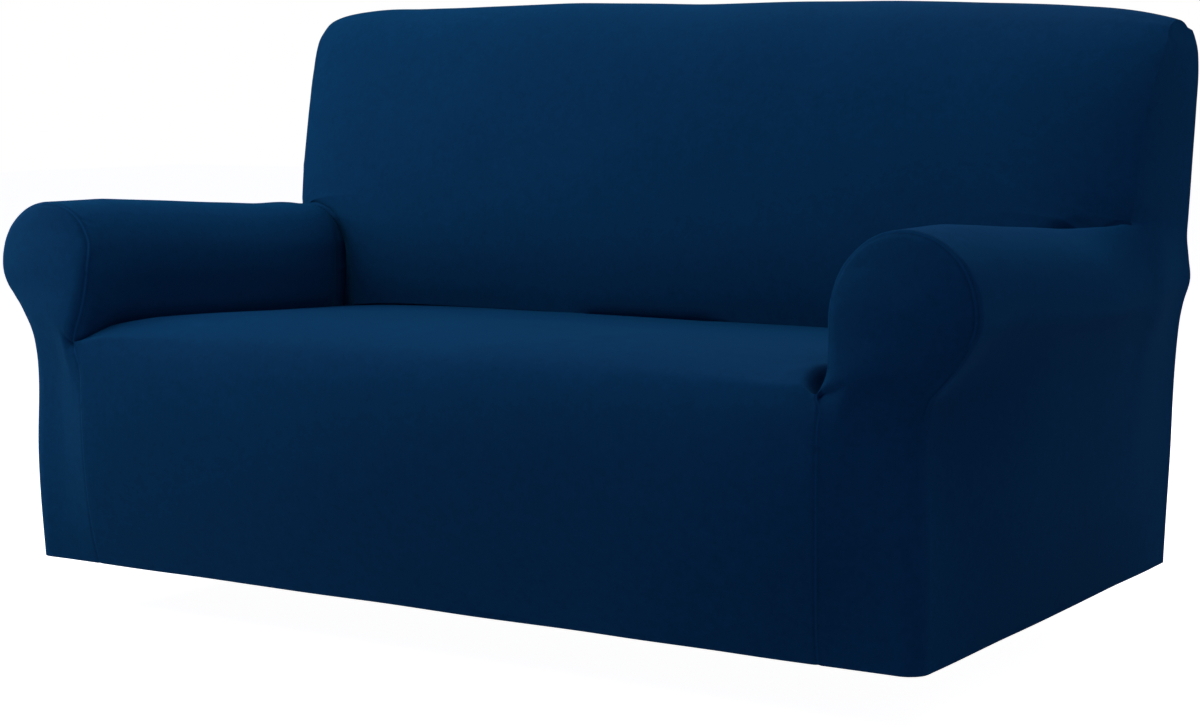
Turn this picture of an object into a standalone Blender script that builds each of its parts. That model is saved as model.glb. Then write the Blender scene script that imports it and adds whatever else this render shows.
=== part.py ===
"""Fitted stretch slipcover for a two-seat sofa with rolled arms, in the hollow form that it takes on.

Seven sewn panels, one object each: the seat with the front apron, the inside back with the top, the
outside back, and for each arm the long panel over the roll and the scroll-topped front.  The panels
meet at shared seams, so they are worked out as one surface first and given their thickness together.

Frame: X runs along the sofa (+X is the right arm seen from the front), Y from front to back, Z up.
The tables below count x from the middle, y from the arm fronts and z from the hem.  The origin of
the part lies under the top of the back, in the middle, where the sofa's back carries the cover.
"""
import math

import bmesh
import bpy
import numpy as np

# ---------------------------------------------------------------- driving dimensions, metres
CLOTH = 0.002                      # thickness of the knit
SEAM_INSET = 0.0003                # each panel stops this far short of its seams
MITRE_LIMIT = 2.0                  # a mitre is at most this many thicknesses deep
STEADYING = 0.001                  # keeps a mitre steady where the faces are nearly level
ORIGIN = np.array((0.0, 0.800, 0.856))   # just under the cloth of the top, in the cover's own x, y, z

DETAIL = 1                         # mesh steps for each step of the tables
HALF_WIDTH = 0.750                 # middle to the outer side, at the hem
DEPTH = 0.880                      # arm front to the rear face
HEM_RETURN = 0.026                 # how far the hem is turned in under the sofa
HEM_RISE = 0.003                   # the turned edge lies this much above the fold
REAR_CORNER = 0.020                # radius of the upright rear corners
REAR_SEAM_X = 0.060                # from the outer side to the seam on the rear face

ROLL_X = 0.7225                    # middle of the arm's roll
ROLL_Z = 0.4555
ROLL_RADIUS = 0.098
SCROLL_START = 130                 # angles on the roll between which the scroll's front has its top
SCROLL_END = 40
SEAM_ANGLE = 62                    # where the side seam of the back starts on the roll
ROLL_DROP_START = 0.12             # from here to the back the roll slopes down
ROLL_SLOPE = 0.066
TUCK_DEPTH = 0.32                  # over this depth the side comes out from below the scroll
TUCK_LEFT = 0.25                   # behind it, how far it still keeps to the scroll's outline
BLEND_START = 0.40                 # from here on the roll leads over to the side of the back
FRONT_STEP = 0.008                 # from the front seam to the first section behind it
CORNER_RADIUS = 0.028              # rounding of the upright front corner below the scroll
SCROLL_PUFF = 0.012                # how far the arm front swells between its seams
PUFF_MARGIN = 0.030                # from a seam to where most of that is reached
PUFF_HEIGHTS = (0.30, 0.40)        # it starts and is full at these heights
CREVICE_OUT = 0.002                # the seat's seam lies this far outside the arm's inner face
SLANT_START = 0.30                 # behind this the arm's stations take on the slant of the back
FRONT_STATIONS = 2                 # stations over which the front seam's unevenness dies out
SEAM_LIFT_HEIGHTS = (0.20, 0.35)   # where the apron's seam goes over to the rounded edge of the arm
SEAM_LIFT_SHARE = 0.30             # part of the arm front's width over which it does so

# Height of the seam between the seat and the inside of the arm
CREVICE = (  # y, z
    (-0.040, 0.350),
    (0.010, 0.361),
    (0.050, 0.3685),
    (0.100, 0.3700),
    (0.170, 0.3680),
    (0.250, 0.3645),
    (0.340, 0.3610),
    (0.430, 0.3580),
    (0.520, 0.3540),
    (0.600, 0.3500),
)

# Outer side of the arm below its roll, from the roll down to the hem
SIDE_ROWS = (  # z, x on the scroll's outline, x on the rear corner, edge radius in front, steps
    (0.400, 0.7930, 0.7715, 0.014, 1),
    (0.376, 0.7725, 0.7670, 0.012, 1),
    (0.352, 0.7575, 0.7645, 0.016, 1),
    (0.315, 0.7505, 0.7620, 0.024, 1),
    (0.160, 0.7500, 0.7560, 0.028, 2),
    (0.000, 0.7500, 0.7500, 0.028, 2),
)

# The roll's rows: in front on the scroll, where they reach the back, and on the rear corner
ROLL_ROWS = (  # angle, y in front, edge radius there, x, z and y at the back's seam, rear corner's x and z
    (180, -0.019, 0.018, 0.6235, 0.4260, 0.600, None, None),
    (155, -0.005, 0.012, 0.6285, 0.4700, 0.600, None, None),
    (130, 0.000, 0.010, 0.6530, 0.5060, 0.603, None, None),
    (110, 0.000, 0.008, 0.6860, 0.5225, 0.610, None, None),
    (90, 0.000, 0.008, 0.7250, 0.5270, 0.620, None, None),
    (62, 0.000, 0.009, 0.7690, 0.5300, 0.655, 0.7760, 0.5330),
    (40, 0.000, 0.012, 0.7910, 0.5010, 0.655, 0.7745, 0.4980),
    (15, 0.000, 0.017, 0.8030, 0.4620, 0.655, 0.7780, 0.4660),
    (-12, 0.000, 0.018, 0.8040, 0.4270, 0.655, 0.7810, 0.4360),
)
ROLL_STEPS = 2                     # mesh steps from one of these rows to the next
INNER_ROWS = (  # y in front and edge radius, at the seat's corner and half way up the inner face
    (-0.040, 0.030),
    (-0.027, 0.025),
)

# Depth stations of the arm and the seat behind the front seam
STATIONS = (0.050, 0.100, 0.170, 0.250, 0.340, 0.430, 0.520, 0.582, 0.600)

# Seam between the apron and the arm front, from the hem up to the corner of the seat, and the
# middle of the apron at the same rows
APRON_ROWS = (  # x, y, z of the seam, y and z in the middle
    (0.6200, 0.000, 0.000, 0.000, 0.000),
    (0.6220, -0.016, 0.060, -0.022, 0.065),
    (0.6240, -0.030, 0.130, -0.041, 0.140),
    (0.6250, -0.037, 0.210, -0.050, 0.215),
    (0.6255, -0.038, 0.275, -0.047, 0.280),
    (0.6275, -0.036, 0.325, -0.033, 0.328),
    (0.6350, -0.031, 0.350, -0.010, 0.358),
)

# Middle of the seat at the arm's depth stations
SEAT_MIDDLE = (  # y, z
    (0.022, 0.3745),
    (0.060, 0.3825),
    (0.108, 0.3855),
    (0.172, 0.3845),
    (0.250, 0.3810),
    (0.340, 0.3760),
    (0.430, 0.3710),
    (0.520, 0.3660),
    (0.582, 0.3625),
    (0.600, 0.3610),
)

# Side seam of the back, from the roll up to the top corner
BACK_SEAM = (  # x, y, z of the seam, x and z of the same row on the rear corner
    (0.7685, 0.668, 0.600, 0.7800, 0.602),
    (0.7725, 0.688, 0.685, 0.7845, 0.688),
    (0.7795, 0.712, 0.752, 0.7860, 0.755),
    (0.7830, 0.734, 0.796, 0.7835, 0.788),
    (0.7790, 0.758, 0.822, 0.7755, 0.818),
)

# Side edge of the back's top, behind the top corner, up to the start of the rear corner
TOP_SIDE = (  # x, y, z
    (0.7780, 0.790, 0.8320),
    (0.7775, 0.820, 0.8290),
    (0.7755, 0.850, 0.8180),
)
TOP_SIDE_REAR_DROP = 0.012         # the edge falls by this much round the rear corner
SIDE_COLUMNS = 3                   # columns from the back's side seam to the rear corner
CORNER_COLUMNS = 3                 # columns round the rear corner

# Middle of the inside back: beside the arm's roll, beside the side seam, and over the top
BACK_MIDDLE_LOW = (  # y, z
    (0.600, 0.361),
    (0.593, 0.395),
    (0.589, 0.430),
    (0.588, 0.462),
    (0.590, 0.492),
    (0.594, 0.520),
    (0.599, 0.545),
    (0.605, 0.572),
)
BACK_MIDDLE_HIGH = (  # y, z
    (0.620, 0.628),
    (0.642, 0.695),
    (0.668, 0.757),
    (0.697, 0.805),
    (0.727, 0.837),
)
BACK_MIDDLE_TOP = (  # y, z
    (0.750, 0.8510),
    (0.775, 0.8580),
    (0.800, 0.8590),
    (0.823, 0.8575),
    (0.845, 0.8510),
    (0.862, 0.8400),
    (0.873, 0.8240),
)

# Uneven top edge of the back: a shallow dip in the middle, the right-hand end a little lower
TOP_UNEVEN = (  # x, height added
    (-0.790, 0.017),
    (-0.700, 0.010),
    (-0.600, 0.004),
    (-0.500, 0.003),
    (-0.260, 0.006),
    (-0.030, -0.001),
    (0.160, 0.000),
    (0.320, -0.002),
    (0.480, -0.009),
    (0.640, -0.013),
    (0.790, -0.012),
)

# Spots where the cloth stands up, sinks in or is drawn aside, fading out over their reach
SPOTS = (  # x, y, z of the middle, reach along x, y and z, move along x, y and z
    (0.590, 0.020, 0.375, 0.030, 0.045, 0.040, 0.000, 0.000, 0.010),     # seat's right front corner
    (0.632, 0.010, 0.352, 0.016, 0.030, 0.030, 0.000, 0.000, -0.016),    # pocket beside it
    (0.635, -0.031, 0.350, 0.014, 0.020, 0.014, -0.013, 0.000, 0.002),   # and its lower end
    (0.780, 0.000, 0.385, 0.060, 0.060, 0.055, 0.005, 0.000, -0.011),    # right scroll, lower side
    (-0.632, -0.030, 0.350, 0.030, 0.040, 0.040, -0.010, 0.000, -0.008), # seat's left front corner
    (-0.745, 0.005, 0.170, 0.035, 0.035, 0.230, -0.020, -0.004, 0.000),  # left front corner, sharper
    (0.620, 0.000, 0.000, 0.080, 0.060, 0.130, -0.010, 0.000, 0.000),    # apron's seams, aslant at the hem
    (-0.620, 0.000, 0.000, 0.080, 0.060, 0.130, -0.012, 0.000, 0.000),
    (-0.770, 0.655, 0.530, 0.040, 0.060, 0.040, 0.000, 0.000, -0.012),   # left arm against the back
    (0.722, 0.615, 0.525, 0.030, 0.040, 0.040, 0.000, 0.000, -0.011),    # right arm against the back
    (-0.800, 0.060, 0.460, 0.050, 0.100, 0.080, -0.016, 0.000, 0.000),   # left roll, a little fuller
)

REAR_LEAVE = 0.12                  # part of its height over which the flat rear leaves the uneven top
SEAT_CROWN = 5.0                   # the higher, the closer to its seams a wide panel reaches its middle
BACK_CROWN = 11.0                  # the same on the inside back
UNEVEN_HEIGHTS = (0.70, 0.83)      # the top's unevenness starts and is full at these heights

# Columns of the wide panels, as parts of the half width, from the side seam to the middle
COLUMN_SHARES = (0.0, 0.03, 0.08, 0.17, 0.31, 0.50, 0.74, 1.0)

FABRIC_COLOUR = (0.006, 0.030, 0.092, 1.0)
FABRIC_ROUGHNESS = 0.85
SHARP_ANGLE = math.radians(50)     # edges sharper than this, at the seams, aren't shaded smoothly
PANEL_TINTS = {
    "seat_and_front": 1.00, "inside_back": 1.00, "outside_back": 0.96,
    "arm_left": 0.98, "arm_right": 0.98, "arm_front_left": 1.00, "arm_front_right": 1.00,
}


# ---------------------------------------------------------------- curves
def smooth(value):
    """0 below 0, 1 above 1, and a soft step in between."""
    t = np.clip(value, 0.0, 1.0)
    return t * t * (3.0 - 2.0 * t)


def through(rows, steps=None):
    """Points on a smooth curve through the rows, with so many mesh steps from row to row."""
    rows = np.asarray(rows, float)
    spans = len(rows) - 1
    steps = steps or [1] * spans
    length = np.linalg.norm(np.diff(rows, axis=0), axis=1)
    slope = np.diff(rows, axis=0) / length[:, None]
    tangent = np.vstack([slope[:1], slope[-1:]])
    if spans > 1:
        before = length[:-1, None]
        after = length[1:, None]
        inner = (slope[:-1] * after + slope[1:] * before) / (before + after)
        tangent = np.vstack([slope[:1], inner, slope[-1:]])
    points = [rows[0]]
    for i in range(spans):
        count = steps[i] * DETAIL
        for k in range(1, count + 1):
            t = k / count
            reach = tangent[i] * t * (1 - t) ** 2 + tangent[i + 1] * t * t * (t - 1)
            ends = rows[i] * (1 + 2 * t) * (1 - t) ** 2 + rows[i + 1] * t * t * (3 - 2 * t)
            points.append(ends + reach * length[i])
    return np.array(points)


def fade(value, ends):
    """Soft step from 0 at the first end to 1 at the second."""
    return smooth((value - ends[0]) / (ends[1] - ends[0]))


def between(values, steps=None):
    """The values with the steps between them filled in evenly."""
    values = np.asarray(values, float)
    steps = steps or [1] * (len(values) - 1)
    places = np.concatenate([[0], np.cumsum(steps)]) * DETAIL
    return np.interp(np.arange(places[-1] + 1), places, values)


def value_at(table, where):
    """Second column of a table at places in its first column."""
    table = np.asarray(table, float)
    return np.interp(where, table[:, 0], table[:, 1])


# ---------------------------------------------------------------- the arm panel
FIRST_ROLL_ROW = 2                                    # after the crevice and the inner face
SECTION_STEPS = [1, 1] + [ROLL_STEPS] * (len(ROLL_ROWS) - 1) + [row[4] for row in SIDE_ROWS]
EDGE_RADIUS = between(
    [row[1] for row in INNER_ROWS] + [row[2] for row in ROLL_ROWS] + [row[3] for row in SIDE_ROWS],
    SECTION_STEPS)
FRONT_PULL = between(
    [row[0] for row in INNER_ROWS] + [row[1] for row in ROLL_ROWS] + [0.0] * len(SIDE_ROWS),
    SECTION_STEPS)
END_Y = between(
    [ROLL_ROWS[0][5]] * 2 + [row[5] for row in ROLL_ROWS] + [ROLL_ROWS[-1][5]] * len(SIDE_ROWS),
    SECTION_STEPS)
SEAM_TURN = math.radians(45)                          # the front seam lies half way round the edge


def roll_row(angle):
    """Section row at an angle of the roll."""
    return FIRST_ROLL_ROW + [row[0] for row in ROLL_ROWS].index(angle)


def place(row):
    """Grid row of a section row."""
    return sum(SECTION_STEPS[:row]) * DETAIL


def arm_section(depth, crevice_z):
    """The arm's cross-section at one depth: crevice, inner face, roll, outer side, hem, as (x, z)."""
    drop = ROLL_SLOPE * max(0.0, depth - ROLL_DROP_START)
    to_back = fade(depth, (BLEND_START, STATIONS[-1]))
    tuck = 1.0 - (1.0 - TUCK_LEFT) * smooth(depth / TUCK_DEPTH)
    rows = []
    for (angle, _, _, end_x, end_z, _, _, _) in ROLL_ROWS:
        turn = math.radians(angle)
        x = ROLL_X + ROLL_RADIUS * math.cos(turn)
        z = ROLL_Z - drop + ROLL_RADIUS * math.sin(turn)
        rows.append((x + (end_x - x) * to_back, z + (end_z - z) * to_back))
    inner_x, inner_z = rows[0]
    widest_x, widest_z = rows[-1]
    for (z, scroll_x, _, _, _) in SIDE_ROWS:
        straight_x = HALF_WIDTH + (widest_x - HALF_WIDTH) * z / widest_z
        rows.append((straight_x + (scroll_x - straight_x) * tuck, z))
    crevice = (inner_x + CREVICE_OUT, crevice_z)
    inner = (inner_x + CREVICE_OUT / 4, (crevice_z + inner_z) / 2)
    return through([crevice, inner] + rows, SECTION_STEPS)


def into_arm(section):
    """Unit normals of an (x, z) section, pointing into the arm."""
    along = np.gradient(section, axis=0)
    normal = np.stack([along[:, 1], -along[:, 0]], axis=1)
    return normal / np.linalg.norm(normal, axis=1)[:, None]


def arm_over_roll():
    """Grid [depth][section row] from the front seam to the back: inner face, roll and outer side."""
    depths = between((0.0, FRONT_STEP) + STATIONS)
    grid = []
    for i, depth in enumerate(depths):
        station = i / DETAIL
        turn = SEAM_TURN * max(0.0, 1.0 - station)
        inset = EDGE_RADIUS * (1.0 - math.cos(turn))
        if station < 1.0:
            y = FRONT_PULL + EDGE_RADIUS * (1.0 - math.sin(turn))
        else:
            y = depth + (END_Y - STATIONS[-1]) * fade(depth, (SLANT_START, STATIONS[-1]))
            left_over = 1.0 - fade(station, (1.0, 1.0 + FRONT_STATIONS))
            y = y + (EDGE_RADIUS + FRONT_PULL - FRONT_STEP) * left_over
        section = arm_section(depth, value_at(CREVICE, y[0]))
        section = section + into_arm(section) * inset[:, None]
        grid.append(np.stack([section[:, 0], y, section[:, 1]], axis=1))
    return np.array(grid)


def round_rear_corner(front, side, ease):
    """One row from its front point along the side and round the rear corner to the rear seam."""
    points = []
    for share in between([0.0, 1.0], [SIDE_COLUMNS]):
        x_share = ease(share)
        points.append((
            front[0] + (side[0] - front[0]) * x_share,
            front[1] + (DEPTH - REAR_CORNER - front[1]) * share,
            front[2] + (side[1] - front[2]) * share,
        ))
    for turn in between([0.0, math.pi / 2], [CORNER_COLUMNS])[1:]:
        points.append((
            side[0] - REAR_CORNER * (1.0 - math.cos(turn)),
            DEPTH - REAR_CORNER * (1.0 - math.sin(turn)),
            side[1],
        ))
    for share in between([0.0, 1.0])[1:]:
        points.append((side[0] - REAR_CORNER - (REAR_SEAM_X - REAR_CORNER) * share, DEPTH, side[1]))
    return np.array(points)


def arm_rear_side(over_roll):
    """Grid [section row][column] behind the back's side seam, from the seam's foot to the hem."""
    rear = [(row[6], row[7]) for row in ROLL_ROWS if row[6]]
    rear += [(row[2], row[0]) for row in SIDE_ROWS]
    rear = through(rear, SECTION_STEPS[roll_row(SEAM_ANGLE):])
    fronts = over_roll[-1][place(roll_row(SEAM_ANGLE)):]
    return np.array([round_rear_corner(f, s, smooth) for f, s in zip(fronts, rear)])


def side_of_back(rear_side):
    """Grid [row][column] of the back's side above the arm, up to the side edge of the top."""
    foot = rear_side[0]
    seam = through([foot[0]] + [row[:3] for row in BACK_SEAM])
    foot_side = foot[SIDE_COLUMNS * DETAIL]
    rear = through([(foot_side[0], foot_side[2])] + [row[3:] for row in BACK_SEAM])
    grid = [round_rear_corner(f, s, lambda share: 1.0 - (1.0 - share) ** 3) for f, s in zip(seam, rear)]
    grid[0] = foot
    top = grid[-1]
    along = SIDE_COLUMNS * DETAIL
    top[:along + 1] = through((top[0],) + TOP_SIDE)
    top[along:, 2] -= TOP_SIDE_REAR_DROP * smooth(np.linspace(0.0, 1.0, len(top) - along))
    return np.array(grid)


def turned_in(fold, direction):
    """Grid of the hem that is turned in under the sofa, from its fold to its raw edge."""
    share = between([0.0, 1.0])[:, None, None]
    reach = np.column_stack([direction * HEM_RETURN, np.full(len(fold), HEM_RISE)])
    return fold[None] + reach[None] * share


def hem_direction_over_roll(count):
    """Level directions under the sofa along the outer side, turning through the front corner."""
    turn = SEAM_TURN * np.clip(1.0 - np.arange(count) / DETAIL, 0.0, 1.0)
    return np.stack([-np.cos(turn), np.sin(turn)], axis=1)


def hem_direction_rear(count):
    turn = np.zeros(count)
    turn[SIDE_COLUMNS * DETAIL:] = between(
        [0.0, math.pi / 2, math.pi / 2], [CORNER_COLUMNS, 1])
    return np.stack([-np.cos(turn), -np.sin(turn)], axis=1)


# ---------------------------------------------------------------- the arm front
def apron_seam(corner):
    return through([row[:3] for row in APRON_ROWS[:-1]] + [corner])


def patch(left, right, bottom, top):
    """Coons patch [along][across] between four edges that meet at its corners."""
    t = np.linspace(0.0, 1.0, len(left))[:, None, None]
    s = np.linspace(0.0, 1.0, len(bottom))[None, :, None]
    sides = left[:, None] * (1 - s) + right[:, None] * s
    ends = bottom[None] * (1 - t) + top[None] * t
    corners = (1 - t) * ((1 - s) * bottom[0] + s * bottom[-1]) + t * ((1 - s) * top[0] + s * top[-1])
    return sides + ends - corners


def arm_front(over_roll):
    """Grid [along][across] of the scroll-topped arm front, from the hem fold to the scroll's top."""
    front = over_roll[0]
    flat = front.copy()
    flat[:, 1] -= EDGE_RADIUS * (1 - math.sin(SEAM_TURN))
    first = place(roll_row(SCROLL_START))
    last = place(roll_row(SCROLL_END))
    seam = apron_seam(front[0])
    seam_flat = seam.copy()
    seam_flat[:, 1] += (flat[0] - front[0])[1] * fade(seam[:, 2], SEAM_LIFT_HEIGHTS)
    left = np.vstack([seam_flat[:-1], flat[:first + 1]])
    right = flat[last:][::-1]
    top = flat[first:last + 1]
    share = between([0.0, 1.0], [(last - first) // DETAIL])[:, None]
    bottom = left[0] * (1 - share) + right[0] * share
    grid = patch(left, right, bottom, top)
    away = np.linalg.norm(grid[:, :, None, ::2] - flat[None, None, :, ::2], axis=3)
    nearest = away.argmin(axis=2)
    away = away.min(axis=2)
    radius = EDGE_RADIUS[nearest]
    left_over = np.clip(radius * math.cos(SEAM_TURN) - away, 0.0, None)
    grid[:, :, 1] += radius - np.sqrt(radius ** 2 - left_over ** 2)
    puff = SCROLL_PUFF * (1 - np.exp(-away / PUFF_MARGIN)) * fade(grid[:, :, 2], PUFF_HEIGHTS)
    grid[:, :, 1] -= puff
    lift = (seam - seam_flat)[:-1, 1]
    grid[:len(lift), :, 1] += lift[:, None] * (1.0 - smooth(share[:, 0] / SEAM_LIFT_SHARE))
    grid[:, 0] = np.vstack([seam[:-1], front[:first + 1]])
    grid[:, -1] = front[last:][::-1]
    grid[-1] = front[first:last + 1]
    return grid


# ---------------------------------------------------------------- the wide panels
def columns():
    """Shares from the left seam (-1) to the right seam (+1)."""
    half = 1.0 - between(COLUMN_SHARES)
    return np.concatenate([-half, half[::-1][1:]])


def wide_panel(right_edge, middle, crown):
    """Grid [row][column] from the left seam over the middle profile to the right seam."""
    share = columns()
    rise = 1.0 - np.abs(share) ** crown
    grid = np.empty((len(right_edge), len(share), 3))
    grid[:, :, 0] = right_edge[:, None, 0] * share
    for axis in (1, 2):
        edge = right_edge[:, None, axis]
        grid[:, :, axis] = edge + (middle[:, None, axis - 1] - edge) * rise
    return grid


def seat_and_front(over_roll):
    seam = apron_seam(over_roll[0][0])
    edge = np.vstack([seam, over_roll[1:, 0]])
    middle = through([row[3:] for row in APRON_ROWS] + list(SEAT_MIDDLE))
    return wide_panel(edge, middle, SEAT_CROWN)


def inside_back(over_roll, side):
    seam = roll_row(SEAM_ANGLE)
    edge = np.vstack([over_roll[-1][:place(seam) + 1], side[1:, 0], side[-1][1:]])
    steps = SECTION_STEPS[:seam] + [1] * (len(BACK_MIDDLE_HIGH) + len(BACK_MIDDLE_TOP))
    middle = through(BACK_MIDDLE_LOW + BACK_MIDDLE_HIGH + BACK_MIDDLE_TOP, steps)
    return wide_panel(edge, middle, BACK_CROWN)


def outside_back(side, rear_side, top_row):
    """Rear face, drawn flat: its first row is the inside back's last one, which it leaves smoothly."""
    edge = np.vstack([side[::-1, -1], rear_side[1:, -1]])
    share = columns()
    grid = np.repeat(edge[:, None], len(share), axis=1)
    grid[:, :, 0] *= share
    fall = (edge[0, 2] - edge[:, 2]) / edge[0, 2]
    leave = (1 - smooth(fall / REAR_LEAVE))[:, None, None]
    return grid + (top_row - grid[0])[None] * leave


# ---------------------------------------------------------------- one surface of all panels
def uneven(points):
    """The cloth's unevenness: the top edge of the back, and the spots."""
    moved = points.copy()
    moved[..., 2] += value_at(TOP_UNEVEN, points[..., 0]) * fade(points[..., 2], UNEVEN_HEIGHTS)
    for spot in np.array(SPOTS):
        away = (points - spot[0:3]) / spot[3:6]
        moved += np.exp(-(away ** 2).sum(axis=-1))[..., None] * spot[6:9]
    return moved


def mirrored(grid):
    return grid * np.array((-1.0, 1.0, 1.0))


def panels():
    """Each panel's grids of points; a grid's rows and columns run so that its quads face outwards."""
    roll = arm_over_roll()
    rear = arm_rear_side(roll)
    side = side_of_back(rear)
    front = arm_front(roll)
    seat = seat_and_front(roll)
    inner = inside_back(roll, side)
    outer = outside_back(side, rear, inner[-1])
    hem_roll = turned_in(roll[:, -1], hem_direction_over_roll(len(roll)))
    hem_rear = turned_in(rear[-1], hem_direction_rear(rear.shape[1]))
    ahead = np.array((0.0, 1.0))
    hem_seat = turned_in(seat[0], np.tile(ahead, (seat.shape[1], 1)))
    hem_outer = turned_in(outer[-1], np.tile(-ahead, (outer.shape[1], 1)))
    corner = np.clip(1.0 - (HALF_WIDTH - front[0][:, 0]) / CORNER_RADIUS, 0.0, None)
    hem_front = turned_in(front[0], np.stack([-corner, np.sqrt(1.0 - corner ** 2)], axis=1))
    arm = [roll, rear.transpose(1, 0, 2), side[::-1].transpose(1, 0, 2), hem_roll.transpose(1, 0, 2),
           hem_rear.transpose(1, 0, 2)]
    arm_face = [front, hem_front[::-1]]
    return {
        "seat_and_front": [seat, hem_seat[::-1]],
        "inside_back": [inner],
        "outside_back": [outer, hem_outer],
        "arm_right": arm,
        "arm_left": [mirrored(grid)[:, ::-1] for grid in arm],
        "arm_front_right": arm_face,
        "arm_front_left": [mirrored(grid)[:, ::-1] for grid in arm_face],
    }


def key(point):
    """The point in whole micrometres, the same for panels that share it."""
    return tuple(int(round(c * 1e6)) for c in point)


def triangles(grids):
    """Points and triangles of one panel; each quad is cut along its shorter diagonal."""
    points = []
    places = {}
    faces = []

    def index(point):
        k = key(point)
        if k not in places:
            places[k] = len(points)
            points.append(point)
        return places[k]

    for grid in grids:
        grid = uneven(grid)
        for i in range(grid.shape[0] - 1):
            for j in range(grid.shape[1] - 1):
                a, b, c, d = (index(grid[p]) for p in ((i, j), (i, j + 1), (i + 1, j + 1), (i + 1, j)))
                across = np.linalg.norm(points[a] - points[c])
                other = np.linalg.norm(points[b] - points[d])
                if across <= other:
                    faces += [(a, b, c), (a, c, d)]
                else:
                    faces += [(a, b, d), (b, c, d)]
    return np.array(points), faces


def offsets(sheets):
    """For each point of the whole surface, the way to the inner side of the cloth.

    It keeps the cloth's thickness from every face that meets there, so panels meet in a mitre."""
    planes = {}
    for points, faces in sheets.values():
        for face in faces:
            a, b, c = (points[i] for i in face)
            normal = np.cross(b - a, c - a)
            area = np.linalg.norm(normal)
            normal = normal / area
            for i in face:
                sums = planes.setdefault(key(points[i]), [np.zeros((3, 3)), np.zeros(3)])
                sums[0] += area * np.outer(normal, normal)
                sums[1] += area * normal
    ways = {}
    for place, (squares, total) in planes.items():
        steady = squares + np.eye(3) * np.trace(squares) * STEADYING
        way = -CLOTH * np.linalg.solve(steady, total)
        ways[place] = way * min(1.0, MITRE_LIMIT * CLOTH / np.linalg.norm(way))
    return ways


# ---------------------------------------------------------------- objects
def clear_scene():
    for old in list(bpy.data.objects):
        bpy.data.objects.remove(old, do_unlink=True)


def fabric(name):
    material = bpy.data.materials.new(name + "_knit")
    material.use_nodes = True
    shader = material.node_tree.nodes["Principled BSDF"]
    tint = PANEL_TINTS[name]
    shader.inputs["Base Color"].default_value = tuple(c * tint for c in FABRIC_COLOUR[:3]) + (1.0,)
    shader.inputs["Roughness"].default_value = FABRIC_ROUGHNESS
    shader.inputs["Metallic"].default_value = 0.0
    return material


def away_from_seam(vert):
    """Move that takes a point of the panel's outline equally far from both outline edges beside it."""
    rows = []
    for edge in (e for e in vert.link_edges if e.is_boundary):
        face = edge.link_faces[0]
        along = edge.verts[1].co - edge.verts[0].co
        across = face.normal.cross(along).normalized()
        if across.dot(face.calc_center_median() - edge.verts[0].co) < 0.0:
            across = -across
        rows.append(across)
    move = np.linalg.lstsq(np.array(rows), np.full(len(rows), SEAM_INSET), rcond=0.1)[0]
    return type(vert.co)(move)


def make_panel(name, points, faces, ways):
    """The panel's outer side, drawn in from its seams, then extruded inwards to the cloth's thickness."""
    bm = bmesh.new()
    number = bm.verts.layers.int.new("number")
    verts = [bm.verts.new(point - ORIGIN) for point in points]
    for face in faces:
        bm.faces.new([verts[i] for i in face])
    bm.normal_update()
    pulls = {}
    for i, vert in enumerate(verts):
        vert[number] = i
        if vert.is_boundary:
            pulls[i] = away_from_seam(vert)
    for i, pull in pulls.items():
        verts[i].co += pull
    grown = bmesh.ops.extrude_face_region(bm, geom=bm.faces[:], use_keep_orig=True)["geom"]
    for vert in (item for item in grown if isinstance(item, bmesh.types.BMVert)):
        vert.co += type(vert.co)(ways[key(points[vert[number]])])
    bmesh.ops.triangulate(bm, faces=[f for f in bm.faces if len(f.verts) > 3])
    bmesh.ops.recalc_face_normals(bm, faces=bm.faces[:])
    mesh = bpy.data.meshes.new(name)
    bm.to_mesh(mesh)
    bm.free()
    mesh.shade_smooth()
    mesh.set_sharp_from_angle(angle=SHARP_ANGLE)
    mesh.materials.append(fabric(name))
    panel = bpy.data.objects.new(name, mesh)
    bpy.context.scene.collection.objects.link(panel)
    return panel


def main():
    clear_scene()
    sheets = {name: triangles(grids) for name, grids in panels().items()}
    ways = offsets(sheets)
    for name, (points, faces) in sheets.items():
        make_panel(name, points, faces, ways)


main()
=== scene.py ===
"""Looks of the fitted stretch slipcover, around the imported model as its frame.

Each sewn panel of the cover is a thin sheet of dark blue knit on its CAD solid's own surface, drawn
much finer, with its seams, small creases and slight unevenness.  The tables and the surface follow
the ones the solids are made from: x from the middle, y from the arm fronts, z from the hem.
"""
import math

import bpy
import numpy as np
from mathutils import Matrix, Vector, kdtree, noise

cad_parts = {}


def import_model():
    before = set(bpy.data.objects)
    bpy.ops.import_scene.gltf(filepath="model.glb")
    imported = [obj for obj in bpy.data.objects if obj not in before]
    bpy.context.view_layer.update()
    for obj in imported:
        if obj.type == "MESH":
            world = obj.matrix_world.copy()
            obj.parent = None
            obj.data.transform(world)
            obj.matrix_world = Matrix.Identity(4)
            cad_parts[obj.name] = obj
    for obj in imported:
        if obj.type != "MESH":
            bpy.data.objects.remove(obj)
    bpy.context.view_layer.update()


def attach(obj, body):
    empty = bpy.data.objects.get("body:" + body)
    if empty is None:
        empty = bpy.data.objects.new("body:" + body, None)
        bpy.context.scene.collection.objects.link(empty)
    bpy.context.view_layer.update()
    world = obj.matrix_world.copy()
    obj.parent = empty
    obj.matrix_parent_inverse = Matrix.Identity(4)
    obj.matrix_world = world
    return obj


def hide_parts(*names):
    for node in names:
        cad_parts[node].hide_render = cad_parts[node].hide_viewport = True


# -------- driving dimensions, metres
CLOTH = 0.002                      # thickness of the knit
SEAM_INSET = 0.00003               # each panel stops this far short of its seams
MITRE_LIMIT = 1.8                  # a mitre is at most this many thicknesses deep
STEADYING = 0.01                   # keeps a mitre steady where the faces are nearly level
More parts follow.
